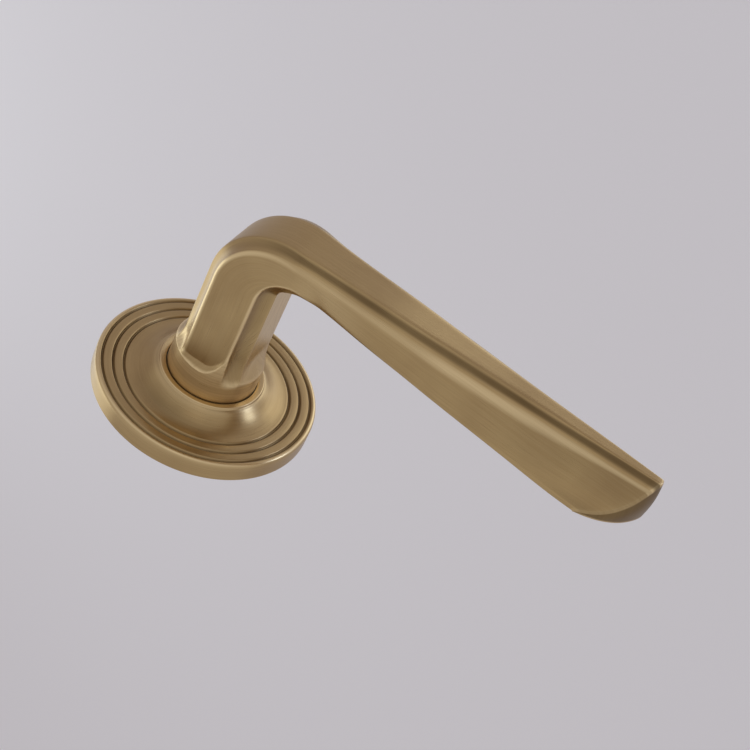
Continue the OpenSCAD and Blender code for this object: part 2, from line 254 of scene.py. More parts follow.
def half_section(d, deep, turn):
    """The section at distance d, deep from front to back; turn is 0 on the neck and 1 on the grip. The
    cove leaves the band steeply and flattens towards the ridge. Its corners are crisp on the neck, soft
    along the grip and crisp again at the tip."""
    band, ridge, edge = [curve_at(points, d) for points in (BAND_POINTS, RIDGE_POINTS, EDGE_POINTS)]
    ridge_deep, corner = curve_at(COVE_POINTS, d), curve_at(INNER_POINTS, d)
    soft = eased(d, -8, 6)
    convex = eased(d, -5, 4)
    back = mix(BAND_W / 2, edge - BACK_INSET, eased(d, -ELBOW_SPAN, 0))
    end_slope = mix(*COVE_END_SLOPES, soft)
    knee = max(KNEE_LEAST, (ridge_deep - end_slope * (ridge - band)) / (1 - COVE_LEAN * end_slope))
    lean = (knee, band + COVE_LEAN * knee)
    shares = [k / PATH_STEPS for k in range(PATH_STEPS + 1)]
    cove = [bezier((0, band), lean, (ridge_deep, ridge), t) for t in shares]
    sag = SIDE_SAG * eased(d, 40, 90)
    side = [
        (mix(ridge_deep, deep - corner, t) + sag * 4 * t * (1 - t), mix(ridge, edge, t)) for t in shares
    ]
    # The corner at the back is a hollow cove on the neck and turns into a rounded edge on the grip.
    inner = []
    for t in shares:
        rise, fall = math.sin(math.pi / 2 * t), math.cos(math.pi / 2 * t)
        u = mix(deep - corner * fall, deep - corner * (1 - rise), convex)
        z = mix(edge - (edge - back) * rise, back + (edge - back) * fall, convex)
        inner.append((u, z))
    crisp = mix(1.0, TIP_CRISPNESS, eased(d, 62, 92))
    band_corner, ridge_corner = [
        tuple(mix(on_neck, on_grip, soft) * crisp for on_neck, on_grip in zip(*corner))
        for corner in (BAND_CORNER, RIDGE_CORNER)
    ]
    # The last path only leads out of the back corner, so its own two points are left out.
    points = rounded(
        [[(0, 0), (0, band)], cove, side, inner, [(deep, back), (deep, back / 2)]],
        [BAND_N, COVE_N, SIDE_N, INNER_N, 1],
        [band_corner, ridge_corner, EDGE_CORNER, BACK_CORNER],
        [BAND_CORNER_N, RIDGE_CORNER_N, EDGE_CORNER_N, BACK_CORNER_N],
    )[:-2]
    # The back has as many points as the front, spread evenly and, near the tip, like the front's.
    crown = BACK_CROWN * turn
    start = points[-1][1]
    follow = BACK_FOLLOW * eased(d, 55, 85)
    for j in reversed(range(FRONT_COUNT)):
        even = j / (FRONT_COUNT - 1)
        z = start * mix(even, points[j][1] / points[FRONT_COUNT - 1][1], follow) * BACK_SHARE
        points.append((deep + crown * (1 - (z / start) ** 2), z))
    return points


def neck_ends(t):
    """Front and back ends of the neck's station at share t of its straight part, each as (x, height)."""
    front_h = mix(NECK_LOW, FRONT_H, t)
    back_h = mix(NECK_LOW, BACK_H - CROOK_R, t)
    return (-NECK_DEEP / 2, front_h), (NECK_DEEP / 2, back_h)


def sweep_ends(d):
    """Front and back ends of the elbow's or grip's station at distance d, each as (x, height)."""
    if d < 0:
        q = math.radians(90 * (d + ELBOW_SPAN) / ELBOW_SPAN)
        front = (ELBOW_X - ELBOW_R * math.cos(q), FRONT_H + ELBOW_R * math.sin(q))
        back = (CROOK_X - CROOK_R * math.cos(q), BACK_H - CROOK_R + CROOK_R * math.sin(q))
        return front, back
    back_h = BACK_H - GRIP_BOW * eased(d, 30, 80)
    return (ELBOW_X + d, PROJECTION), (mix(CROOK_X, REACH + 1, d / (GRIP_LEN + 1)), back_h)


def sweep_section(d):
    """Half of the section at distance d in the elbow or grip."""
    front, back = sweep_ends(d)
    return half_section(d, math.dist(front, back), min(1.0, 1 + d / ELBOW_SPAN))


# Sections of the elbow and grip at even steps, which go on a little past the tip.
SECTION_STEP = 0.25
SECTIONS_PAST = 4
SECTION_COUNT = int((ELBOW_SPAN + GRIP_LEN + SECTIONS_PAST) / SECTION_STEP)
SECTIONS = [sweep_section(SECTION_STEP * k - ELBOW_SPAN) for k in range(SECTION_COUNT)]


def section_point(d, j):
    """Point j of the section at distance d, as (depth, half width)."""
    way = (d + ELBOW_SPAN) / SECTION_STEP
    k = min(SECTION_COUNT - 2, max(0, int(way)))
    a, b = SECTIONS[k][j], SECTIONS[k + 1][j]
    return mix(a[0], b[0], way - k), mix(a[1], b[1], way - k)


def placed(front, back, deep, u, z):
    """(x, z, height) of a section point between a station's two ends."""
    s = u / deep
    return mix(front[0], back[0], s), z, mix(front[1], back[1], s)


# Run-out of the neck into the round collar. The angle is 0 on the crook side and 180 on the outer side.
# The neck's flats, outer coves and band end on a lip, which curves up into the inner ridge; the inner
# coves flare out over a long stretch. The tables are (angle, millimetres): how far the lip stands above
# COLLAR_H, the height where the flare starts, and how far the run-out reaches up the neck.
LIP_RISE = [(28, 0), (50, 7), (60, 7), (62, 5.6), (66, 3.8), (69, 2.5), (77, 0.7), (84, 0.1), (90, 0)]
FLARE_START = [(0, 15.5), (33, 15), (48, 14.5), (55, 15.5)]
RUN_LENGTH = [
    (0, 6), (33, 7), (48, 8), (55, 8), (60, 3), (72, 1.6), (90, 1.5), (114, 1.6), (126, 3.5), (150, 5),
    (180, 5),
]
FLARE_TO = FLARE_START[-1][0]
LIP_FROM = 60
LIP_ROUND = 0.05
# Rings of points on the neck as (first height, step, count). The second run starts just below the lip.
BELOW_LIP = 0.15
RINGS_DENSE_TO = COLLAR_H + 2
RINGS_EVEN_FROM = 38.0
NECK_RINGS = [
    (NECK_LOW - 0.4, 0.35, 10), (COLLAR_H - BELOW_LIP, 0.1, 22), (RINGS_DENSE_TO + 0.4, 0.5, 20),
    (28.8, 1.5, 8),
]


def round_angle(x, z):
    """Angle about the spindle in degrees, 0 on the crook side and 180 on the outer side."""
    return math.degrees(math.atan2(abs(z), x))


def lip_height(angle):
    return COLLAR_H + curve_at(LIP_RISE, angle)


def collar_blend(x, z, h):
    """0 on the round collar and 1 on the neck: a rounded edge, then a hollow that eases into the neck."""
    angle = round_angle(x, z)
    on_lip = eased(angle, FLARE_TO, LIP_FROM)
    start = mix(curve_at(FLARE_START, angle), lip_height(angle), on_lip)
    way = max(0.0, (h - start) / curve_at(RUN_LENGTH, angle))
    way = min(1.0, way * way / (way + LIP_ROUND))
    return 1 - (1 - way) ** 2


def follow_lip(x, z, h):
    """The height of a point of the straight neck, moved so that one ring of points runs along the lip."""
    rise = curve_at(LIP_RISE, round_angle(x, z))
    if h < COLLAR_H:
        share = eased(h, NECK_LOW, COLLAR_H - BELOW_LIP)
    else:
        share = 1 - max(0.0, h - RINGS_DENSE_TO) / (RINGS_EVEN_FROM - RINGS_DENSE_TO)
    return h + rise * max(0.0, min(1.0, share))


def on_collar(x, z, h):
    """A point of the straight neck, moved out to the round collar as far as the run-out asks."""
    h = follow_lip(x, z, h)
    m = collar_blend(x, z, h)
    rho = math.hypot(x, z)
    k = mix(NECK_R, rho, m) / rho
    return x * k, z * k, h


# Keeps the root in tip_end real for points beyond the ends of the tip's arcs.
LEAST_SQUARE = 0.01


def tip_end(z):
    """x of the grip's pointed end at half width z."""
    z = math.hypot(z, TIP_POINT_R) - TIP_POINT_R
    return TIP_X + math.sqrt(max(LEAST_SQUARE, TIP_ARC_R**2 - (z + TIP_Z) ** 2))


SEARCH_STEPS = 4


def grip_point(d0, j, pull, drop):
    """A point of the grip. The stations bend towards the tip so that the last one follows its two arcs.
    Pull moves the point back from the end, and drop moves it into the body, which rounds the end's rim."""
    bend = eased(d0, 30, GRIP_LEN) ** 2
    d = d0
    front, back = sweep_ends(d0)
    for _ in range(SEARCH_STEPS):
        u, z = section_point(d, j)
        f, b = sweep_ends(d)
        deep = math.dist(f, b)
        target = mix(front[0], back[0], u / deep) + bend * (tip_end(z) - REACH) - pull
        d += target - mix(f[0], b[0], u / deep)
    x, z, h = placed(*sweep_ends(d), deep, u, z)
    if j < FRONT_COUNT:
        side = 1.0
    elif j < FRONT_COUNT + CORNER_COUNT:
        side = 1 - 2 * (j - FRONT_COUNT + 1) / (CORNER_COUNT + 1)
    else:
        side = -1.0
    return x, z, h - drop * side


def half_ring(points):
    """Both sides of a ring from its +Z half, in order: front centre, +Z side, back centre, -Z side."""
    return points + [(x, -z, h) for x, z, h in reversed(points[1:-1])]


ELBOW_STEPS, GRIP_STEPS, RIM_STEPS = 30, 84, 4
# The rounding of the tip's rim, how far before the end its rings begin, and the bulge of the end wall.
TIP_RIM = 0.5
RIM_LEAD = 0.8
TIP_BULGE = 0.45
SOCKET_CHAMFER = 0.3
JOURNAL_CHAMFER = 0.4
SHOULDER_CHAMFER = 0.3
SOCKET_END_SHARE = 0.02


def turned_rings(angles):
    """Rings of the round part: out of the spindle socket from its closed end, round the journal and up to
    the collar."""
    def socket(a):
        return SOCKET_HALF / max(abs(math.cos(a)), abs(math.sin(a)))

    def key(a):
        return min(KEY_R, KEY_FLAT / max(1e-6, abs(math.sin(a))))

    def disc(r):
        return lambda a: r

    steps = [
        (SOCKET_H, lambda a: socket(a) * SOCKET_END_SHARE), (SOCKET_H, socket), (SOCKET_H - 4, socket),
        (JOURNAL_END + SOCKET_CHAMFER, socket), (JOURNAL_END, lambda a: socket(a) + SOCKET_CHAMFER),
        (JOURNAL_END, disc(JOURNAL_R - JOURNAL_CHAMFER)), (JOURNAL_END + JOURNAL_CHAMFER, disc(JOURNAL_R)),
        (GROOVE_LOW, disc(JOURNAL_R)), (GROOVE_LOW, disc(GROOVE_R)), (GROOVE_TOP, disc(GROOVE_R)),
        (GROOVE_TOP, disc(JOURNAL_R)), (KEY_H, disc(JOURNAL_R)), (KEY_H, key), (SHOULDER_H, key),
        (SHOULDER_H, disc(NECK_R - SHOULDER_CHAMFER)), (SHOULDER_H + SHOULDER_CHAMFER, disc(NECK_R)),
        (9.0, disc(NECK_R)), (11.0, disc(NECK_R)), (12.4, disc(NECK_R)),
    ]
    return [
        half_ring([(radius(a) * math.cos(a), radius(a) * math.sin(a), h) for a in angles])
        for h, radius in steps
    ]


def neck_section(h):
    """Half of the straight neck's section at height h."""
    front, back = neck_ends((h - NECK_LOW) / (FRONT_H - NECK_LOW))
    deep = math.dist(front, back)
    return [placed(front, back, deep, u, z) for u, z in half_section(-ELBOW_SPAN, deep, 0)]


def elbow_ring(d):
    """The ring of points at distance d in the elbow."""
    front, back = sweep_ends(d)
    deep = math.dist(front, back)
    return half_ring([placed(front, back, deep, u, z) for u, z in sweep_section(d)])


def lever_rings():
    """(kind, distance, ring) from the socket's closed end to the rounded rim of the tip. The kind is turned
    for the round part, neck for the straight neck with its run-out, and swept for the elbow and grip."""
    angles = [math.atan2(z, x) for x, z, _ in neck_section(COLLAR_H)]
    rings = [("turned", -ELBOW_SPAN, ring) for ring in turned_rings(angles)]
    for h in [low + step * k for low, step, count in NECK_RINGS for k in range(count)]:
        rings.append(("neck", -ELBOW_SPAN, half_ring([on_collar(*p) for p in neck_section(h)])))
    for k in range(ELBOW_STEPS + 1):
        d = ELBOW_SPAN * k / ELBOW_STEPS - ELBOW_SPAN
        rings.append(("swept", d, elbow_ring(d)))
    for k in range(1, GRIP_STEPS + 1):
        d = (GRIP_LEN - RIM_LEAD) * k / GRIP_STEPS
        rings.append(("swept", d, half_ring([grip_point(d, j, 0, 0) for j in range(HALF_COUNT)])))
    for k in range(RIM_STEPS + 1):
        q = math.pi / 2 * k / RIM_STEPS
        pull, drop = TIP_RIM * (1 - math.sin(q)), TIP_RIM * (1 - math.cos(q))
        ring = half_ring([grip_point(GRIP_LEN, j, pull, drop) for j in range(HALF_COUNT)])
        rings.append(("swept", GRIP_LEN, ring))
    return rings


def tip_wall(ring):
    """Points and faces that close the last ring with the slightly bulging end wall. Faces count from the
    ring's own indices; new points follow RING_COUNT."""
    points, faces = [], []
    levels = CORNER_COUNT

    def ring_index(j, sign):
        return j if sign > 0 or j in (0, HALF_COUNT - 1) else RING_COUNT - j

    grid = {}
    for sign in (1, -1):
        for j in range(FRONT_COUNT):
            a = ring[j]
            b = ring[HALF_COUNT - 1 - j]
            for k in range(levels + 2):
                if k == 0:
                    grid[sign, j, k] = ring_index(j, sign)
                elif k == levels + 1:
                    grid[sign, j, k] = ring_index(HALF_COUNT - 1 - j, sign)
                elif j == FRONT_COUNT - 1:
                    grid[sign, j, k] = ring_index(FRONT_COUNT - 1 + k, sign)
                elif j == 0 and sign < 0:
                    grid[sign, j, k] = grid[1, 0, k]
                else:
                    t = k / (levels + 1)
                    z = mix(a[1], b[1], t)
                    bulge = TIP_BULGE * math.sin(math.pi * t) * (1 - (j / (FRONT_COUNT - 1)) ** 4)
                    x = mix(a[0], b[0], t) + bulge
                    grid[sign, j, k] = RING_COUNT + len(points)
                    points.append((x, z * sign, mix(a[2], b[2], t)))
        for j in range(FRONT_COUNT - 1):
            for k in range(levels + 1):
                corners = [(j, k), (j, k + 1), (j + 1, k + 1), (j + 1, k)]
                quad = [grid[sign, *corner] for corner in corners]
                faces.append(quad if sign > 0 else quad[::-1])
    return points, faces


# One unit of the brushing maps in millimetres, and the angle from which an edge is drawn sharp.
UV_MM = 100.0
SHARP = math.radians(38)


def new_mesh(name, points, faces, maps, shades):
    """A mesh in the shared frame from (x, z, height) points in millimetres. The maps guide the brushing,
    and the shades say where a point is darker with patina and painted shade, lighter with wear and painted
    highlights, or belongs to a turned part."""
    mesh = bpy.data.meshes.new(name)
    mesh.from_pydata([(-x * MM, -h * MM, z * MM) for x, z, h in points], [], faces)
    for key, values in maps.items():
        layer = mesh.uv_layers.new(name=key)
        layer.data.foreach_set("uv", [c for corners in values for uv in corners for c in uv])
    for key, values in shades.items():
        mesh.attributes.new(key, "FLOAT", "POINT").data.foreach_set("value", values)
    mesh.polygons.foreach_set("use_smooth", [True] * len(faces))
    mesh.set_sharp_from_angle(angle=SHARP)
    mesh.validate()
    piece = bpy.data.objects.new(name, mesh)
    bpy.context.scene.collection.objects.link(piece)
    return piece


# How dark the patina and painted shade are, and how light the wear and painted highlights, from 0 to 1.
# Painted shade on the tip's end wall.
TIP_WALL_SHADE = 0.85
# Patina and painted shade in the neck's inner cove.
INNER_COVE_PATINA_AND_SHADE = 0.3
# Painted shade on the side panel towards the tip, where it reflects shade.
PANEL_SHADE = 0.3
# Painted highlights on the collar, the low outer cove, the neck's inner face, the bend and the rim's side;
# on the rim they are partly edge wear.
COLLAR_HIGHLIGHT = 1.0
LOW_COVE_HIGHLIGHT = 0.9
INNER_FACE_HIGHLIGHT = 0.6
BEND_HIGHLIGHT = 0.3
RIM_SIDE_HIGHLIGHT = 0.25
RIDGE_FADE = 0.5
# How far the rim's painted highlight reaches back in millimetres, and the ridge's last point in a section.
RIM_HIGHLIGHT_LENGTH = 1.2
RIDGE_END = COVE_FROM + COVE_N + RIDGE_CORNER_N


def hollow_at(kind, d, j, x, z, h):
    """How dark a section point is painted: patina and painted shade, full in the cove beside the band and
    faint in the neck's inner cove, and painted shade on the grip's side panel towards the tip."""
    if kind == "turned":
        return 0.0
    blend = collar_blend(x, z, h) if kind == "neck" else 1.0
    # Patina and painted shade in the cove beside the band.
    t = (j - COVE_FROM) / COVE_N
    if -0.4 < t < 1:
        return eased(t, -0.3, 0.1) * (1 - eased(t, 0.45, 0.95)) * eased(d, -7, 2) * blend
    # Patina and painted shade in the neck's inner cove.
    t = (j - INNER_FROM) / INNER_N
    if -0.2 < t < 1.2:
        return INNER_COVE_PATINA_AND_SHADE * eased(t, -0.2, 0.2) * (1 - eased(t, 0.7, 1.2)) * eased(d, 0, -6) * blend
    # Painted shade on the side panel towards the tip, where it reflects shade.
    if COVE_FROM + COVE_N < j < FRONT_COUNT:
        return PANEL_SHADE * eased(d, 40, 80)
    return 0.0


def wear_and_highlight_at(kind, d, j, x, z, h):
    """How light a section point is painted: painted highlights on the collar and its lip, the ridge, the
    neck's inner ridge, the tip's rim, the side panel round the end of the elbow, the neck's inner face and
    its low outer cove; on the ridge and the rim they are partly edge wear."""
    # The whole turned part gets the collar's painted highlight.
    if kind == "turned":
        return COLLAR_HIGHLIGHT
    # Painted highlights on the tip's rim and the ridge, partly edge wear, and on the neck's inner ridge,
    # the bend of the side panel and the neck's inner face.
    rim = eased(d, GRIP_LEN - RIM_HIGHLIGHT_LENGTH, GRIP_LEN) * (1.0 if j <= RIDGE_END else RIM_SIDE_HIGHLIGHT)
    t = (j - COVE_FROM - COVE_N) / (RIDGE_CORNER_N + 1)
    ridge = math.sin(math.pi * t) if 0 < t < 1 else 0.0
    ridge *= 1 - RIDGE_FADE * eased(d, -6, 2) * eased(d, 45, 30)
    t = (j - FRONT_COUNT + 1) / (EDGE_CORNER_N + 1)
    inner_ridge = math.sin(math.pi * t) * (1 - eased(d, -3, 4)) if 0 < t < 1 else 0.0
    bend = BEND_HIGHLIGHT * near(d, 8, 18) if COVE_FROM + COVE_N < j < FRONT_COUNT else 0.0
    inner_face = INNER_FACE_HIGHLIGHT * eased(d, 0, -6) if j >= FRONT_COUNT + CORNER_COUNT else 0.0
    if kind != "neck":
        return max(rim, ridge, inner_ridge, bend, inner_face)
    angle = round_angle(x, z)
    above = h - lip_height(angle)
    # Painted highlights on the lip, the collar and the neck's low outer cove.
    lip = eased(angle, 58, 64) * near(above, 0.1, 0.45)
    collar_sheen = COLLAR_HIGHLIGHT * (1 - eased(collar_blend(x, z, h), 0, 0.4))
    low_cove = LOW_COVE_HIGHLIGHT * eased(h, 30, 20) if COVE_FROM <= j <= COVE_FROM + COVE_N else 0.0
    ridge *= eased(above, 0, 1.5)
    inner_ridge *= eased(above, -1.5, 0)
    return max(lip, collar_sheen, low_cove, inner_face, ridge, inner_ridge)


def turned_at(kind, x, z, h):
    """1 where the brush lines run round the collar, 0 where they run along the neck and grip."""
    if kind == "neck":
        return 1 - eased(collar_blend(x, z, h), 0, 0.12)
    return 1.0 if kind == "turned" else 0.0


def section_spans(ring):
    """Lengths round the first half of a ring, from the front centre to each point."""
    spans = [0.0]
    for a, b in zip(ring, ring[1:HALF_COUNT]):
        spans.append(spans[-1] + math.dist(a, b))
    return spans


def make_lever():
    """The casting as one closed mesh, with the brushing maps, and the patina, painted shade, wear and
    painted highlights of every point.
    """
    rings = lever_rings()
    n = RING_COUNT
    points = [p for _, _, ring in rings for p in ring]
    spans = [section_spans(ring) for _, _, ring in rings]
    middles = [[(p + q) / 2 for p, q in zip(ring[0], ring[HALF_COUNT - 1])] for _, _, ring in rings]
    ways = [0.0]
    for a, b in zip(middles, middles[1:]):
        ways.append(ways[-1] + math.dist(a, b))

    def map_points(k, i, wrap_back):
        """For one corner: signed distance round the section, and the angle round the collar."""
        i = i % n
        j = i if i < HALF_COUNT else n - i
        sign = 1 if i < HALF_COUNT and not (wrap_back and i == HALF_COUNT - 1) else -1
        x, z, h = rings[k][2][i]
        angle = math.atan2(abs(z), x) * sign
        return (sign * spans[k][j] / UV_MM, ways[k] / UV_MM), (h / UV_MM, angle * NECK_R / UV_MM)

    faces, along, around = [], [], []
    for k in range(len(rings) - 1):
        for i in range(n):
            i2 = (i + 1) % n
            faces.append([k * n + i, k * n + i2, (k + 1) * n + i2, (k + 1) * n + i])
            wrap = i >= HALF_COUNT - 1
            corners = [map_points(a, b, wrap) for a, b in ((k, i), (k, i2), (k + 1, i2), (k + 1, i))]
            along.append([c[0] for c in corners])
            around.append([c[1] for c in corners])
    # The closed inner end of the socket.
    faces.append(list(range(n))[::-1])
    along.append([(0.0, 0.0)] * n)
    around.append([(0.0, 0.0)] * n)
    more, wall = tip_wall(rings[-1][2])
    base = (len(rings) - 1) * n
    points += more
    for face in wall:
        corners = [base + i for i in face]
        faces.append(corners)
        uv = [(points[i][1] / UV_MM, (ways[-1] + points[i][2]) / UV_MM) for i in corners]
        along.append(uv)
        around.append(uv)

    cavity, wear, turned = [], [], []
    for kind, d, ring in rings:
        for i, (x, z, h) in enumerate(ring):
            j = i if i < HALF_COUNT else n - i
            cavity.append(hollow_at(kind, d, j, x, z, h))
            wear.append(wear_and_highlight_at(kind, d, j, x, z, h))
            turned.append(turned_at(kind, x, z, h))
    # The tip's end wall gets painted shade and no painted highlight.
    cavity += [TIP_WALL_SHADE] * len(more)
    wear += [0.0] * len(more)
    turned += [0.0] * len(more)
    maps = {"along": along, "around": around}
    shades = {"cavity": cavity, "wear": wear, "turned": turned}
    piece = new_mesh("lever_fine", points, faces, maps, shades)
    cut_grub_hole(piece)
    return piece


DRILL_SPARE = 1.0


def cut_grub_hole(piece):
    """Drills the hole of the set screw from the socket out through the collar's underside."""
    inner, outer = SOCKET_HALF - DRILL_SPARE, NECK_R + DRILL_SPARE
    mesh = bpy.data.meshes.new("grub_drill")
    shape = bmesh.new()
    bmesh.ops.create_cone(
        shape, cap_ends=True, segments=48, radius1=GRUB_R * MM, radius2=GRUB_R * MM,
        depth=(outer - inner) * MM,
    )
    shape.to_mesh(mesh)
    shape.free()
    drill = bpy.data.objects.new("grub_drill", mesh)
    drill.location = (0, -GRUB_H * MM, -(outer + inner) / 2 * MM)
    bpy.context.scene.collection.objects.link(drill)
    cut = piece.modifiers.new("grub_hole", "BOOLEAN")
    cut.operation = "DIFFERENCE"
    cut.object = drill
    bpy.context.view_layer.update()
    result = bpy.data.meshes.new_from_object(piece.evaluated_get(bpy.context.evaluated_depsgraph_get()))
    piece.modifiers.clear()
    piece.data = result
    result.set_sharp_from_angle(angle=SHARP)
    bpy.data.objects.remove(drill)


# ---- Rose: a turned profile of (radius, height) points ----
def reed_drop(r):
    """How far the rim's face lies below its nominal height at radius r."""
    drop = 0.0
    for c in REED_R:
        t = abs(r - c) / REED_HALF
        if t < 1:
            drop = max(drop, REED_DEPTH * math.cos(math.pi / 2 * t) ** 2)
    return drop


TURNS = 240
EDGE_STEPS = 8
BELL_STEPS = 18
INSIDE_STEPS = 8
FACE_STEP = 0.1
ROSE_CHAMFER = 0.15
CROWN_HALF = 1.3
BELL_WALL = 0.9
# The lip round the neck, from the bell over its crest to the guide ring's seat.
LIP_OUTLINE = [
    (BELL_R, BELL_H), (13.62, 8.72), (13.42, LIP_H), (12.3, LIP_H - 0.2), (LIP_R, LIP_H - 0.4),
    (LIP_R, GUIDE_TOP),
]
LIP_CORNERS = [0.22, 0.28, 0.2, 0.15]
LIP_CORNER_STEPS = [3, 5, 3, 3]
LIP_STEPS = [2, 2, 3, 2, 2]
# The snap ring's groove in the inside wall: its depth, and half its width at its bottom and its mouth.
SNAP_DEEP = 0.25
SNAP_BOTTOM_HALF = 0.35
SNAP_MOUTH_HALF = 0.65


def rose_profile():
    """Closed outline: outside wall, rim, reeded face, bell, lip, and back through the inside."""
    out = [(ROSE_R - ROSE_CHAMFER, 0.0), (ROSE_R, ROSE_CHAMFER), (ROSE_R, 1.5), (ROSE_R, 3.0)]
    for k in range(EDGE_STEPS + 1):
        q = math.pi / 2 * k / EDGE_STEPS
        out.append((
            ROSE_R - RIM_ROUND + RIM_ROUND * math.cos(q), RIM_H - RIM_ROUND + RIM_ROUND * math.sin(q)
        ))
    for k in range(1, int((ROSE_R - RIM_ROUND - SWEEP_R) / FACE_STEP) + 1):
        r = ROSE_R - RIM_ROUND - FACE_STEP * k
        crown = REED_CROWN * smooth(min(abs(r - c) for c in REED_R) / CROWN_HALF)
        out.append((r, RIM_H - REED_CROWN + crown - reed_drop(r)))
    base = out[-1][1]
    for k in range(1, BELL_STEPS + 1):
        t = 1 - k / BELL_STEPS
        out.append((mix(BELL_R, SWEEP_R, t), base + (BELL_H - base) * (1 - t) ** 2))
    lip = list(zip(LIP_OUTLINE, LIP_OUTLINE[1:]))
    out += rounded(lip, LIP_STEPS, [(c, c) for c in LIP_CORNERS], LIP_CORNER_STEPS)[1:]
    inside = [(GUIDE_R, GUIDE_TOP), (GUIDE_R, GUIDE_LOW)]
    for k in range(INSIDE_STEPS + 1):
        t = k / INSIDE_STEPS
        inside.append((mix(BELL_R - BELL_WALL, SWEEP_R, t), mix(COVER_IN_H, GUIDE_LOW, (1 - t) ** 2)))
    inside += [
        (COVER_IN_R, COVER_IN_H), (COVER_IN_R, SNAP_H + SNAP_MOUTH_HALF),
        (COVER_IN_R + SNAP_DEEP, SNAP_H + SNAP_BOTTOM_HALF),
        (COVER_IN_R + SNAP_DEEP, SNAP_H - SNAP_BOTTOM_HALF),
        (COVER_IN_R, SNAP_H - SNAP_MOUTH_HALF), (COVER_IN_R, ROSE_CHAMFER),
        (COVER_IN_R + ROSE_CHAMFER, 0.0),
    ]
    return out + inside


# Painted highlight on the lip's slope.
LIP_HIGHLIGHT = 0.5
# Painted shade in the gap round the neck and at the lip's foot.
GAP_SHADE = 0.9
LIP_FOOT_SHADE = 0.2
# Painted shade on the bell, darkest near its top. The three values are that angle in degrees, with 0
# towards the tip and 90 at the top, how far the painted shade reaches to either side of it, and how dark it
# is. Along the radius it is darkest at BELL_MIDDLE and ends BELL_REACH to either side.
BELL_SHADE = (95, 55, 0.6)
BELL_MIDDLE = 17.5
BELL_REACH = 4


def rose_shades(profile):
    """Painted shade, highlights and wear of each point of the rose, turn by turn: darker grooves, painted
    shade in the gap round the neck, at the lip's foot and on a patch of the bell; painted highlights on the
    rim, lip and lip crest, on the rim partly edge wear. The numbers are radii and heights."""
    cavity, wear = [], []
    for r, h in profile:
        groove = reed_drop(r) / REED_DEPTH if h > COVER_IN_H else 0.0
        # Painted shade in the gap round the neck and at the lip's foot.
        gap = GAP_SHADE * eased(r, 11.95, 11.85) + LIP_FOOT_SHADE * near(r, 13.95, 0.5)
        cavity.append(min(1.0, groove + gap))
        # Painted highlights on the rim, partly edge wear, on the lip's crest and on the lip's slope.
        rim = near(r, ROSE_R - 0.5, 0.7) * eased(h, 3.6, 4.6)
        crest = near(r, 13.4, 0.35) * eased(h, 9.0, 9.2)
        lip = LIP_HIGHLIGHT * eased(r, 15.5, 13.5) * eased(h, 7, 7.5)
        wear.append(max(rim, crest, lip))
    # A patch of painted shade on the bell, darkest at one angle round the rose.
    bell = [near(r, BELL_MIDDLE, BELL_REACH) if h > COVER_IN_H + 1 else 0.0 for r, h in profile]
    angle, reach, darkness = BELL_SHADE
    dark_by_turn = []
    for t in range(TURNS):
        off = (360 * t / TURNS - angle + 180) % 360 - 180
        here = darkness * near(off, 0, reach)
        dark_by_turn += [max(dark, here * on_bell) for dark, on_bell in zip(cavity, bell)]
    return {"cavity": dark_by_turn, "wear": wear * TURNS, "turned": [1.0] * len(dark_by_turn)}


def make_rose():
    """The rose cover as one closed lathed mesh."""
    profile = rose_profile()
    n = len(profile)
    points = []
    for t in range(TURNS):
        a = 2 * math.pi * t / TURNS
        points += [(r * math.cos(a), r * math.sin(a), h) for r, h in profile]
    lengths = [0.0]
    for a, b in zip(profile, profile[1:] + profile[:1]):
        lengths.append(lengths[-1] + math.dist(a, b))
    faces, around = [], []
    for t in range(TURNS):
        for i in range(n):
            i2, t2 = (i + 1) % n, (t + 1) % TURNS
            faces.append([t * n + i, t * n + i2, t2 * n + i2, t2 * n + i])
            u, u2 = lengths[i] / UV_MM, lengths[i + 1] / UV_MM
            v, v2 = (2 * math.pi * ROSE_R * (t + s) / TURNS / UV_MM for s in (0, 1))
            around.append([(u, v), (u2, v), (u2, v2), (u, v2)])
    maps = {"along": around, "around": around}
    return new_mesh("rose_cover_fine", points, faces, maps, rose_shades(profile))


# ---- Materials ----
def feed(tree, target, value):
    """Links a socket to the target input, or sets the input's own value."""
    if isinstance(value, bpy.types.NodeSocket):
        tree.links.new(value, target)
    else:
        target.default_value = value


def add(tree, kind, **inputs):
    """A shader node with its inputs set by name, or by number as i0, i1 and so on. A MapRange node takes
    its old range from i1 and i2 and its new one from i3 and i4."""
    node = tree.nodes.new("ShaderNode" + kind)
    for key, value in inputs.items():
        numbered = key[0] == "i" and key[1:].isdigit()
        feed(tree, node.inputs[int(key[1:]) if numbered else key], value)
    return node


def ramp(tree, factor, stops):
    """A colour ramp through (place, colour) stops."""
    node = add(tree, "ValToRGB", Fac=factor)
    line = node.color_ramp
    while len(line.elements) < len(stops):
        line.elements.new(0.5)
    for element, (place, colour) in zip(line.elements, stops):
        element.position = place
        element.color = (*colour, 1)
    return node.outputs["Color"]


def grey(v):
    return (v, v, v)


# First input and output of each kind of value on a Mix node; its second input follows the first.
MIX_SOCKETS = {"FLOAT": (2, 0), "VECTOR": (4, 1), "RGBA": (6, 2)}


def mixed(tree, factor, a, b, kind, mode="MIX"):
    """Mixes two values, vectors or colours, given as sockets or as values."""
    node = tree.nodes.new("ShaderNodeMix")
    node.data_type = kind
    node.blend_type = mode
    first, out = MIX_SOCKETS[kind]
    feed(tree, node.inputs[0], factor)
    feed(tree, node.inputs[first], a)
    feed(tree, node.inputs[first + 1], b)
    return node.outputs[out]


def blend_colour(tree, factor, a, b, mode="MIX"):
    """Mixes two colours, each a socket or three numbers."""
    a, b = [(*c, 1) if isinstance(c, tuple) else c for c in (a, b)]
    return mixed(tree, factor, a, b, "RGBA", mode)


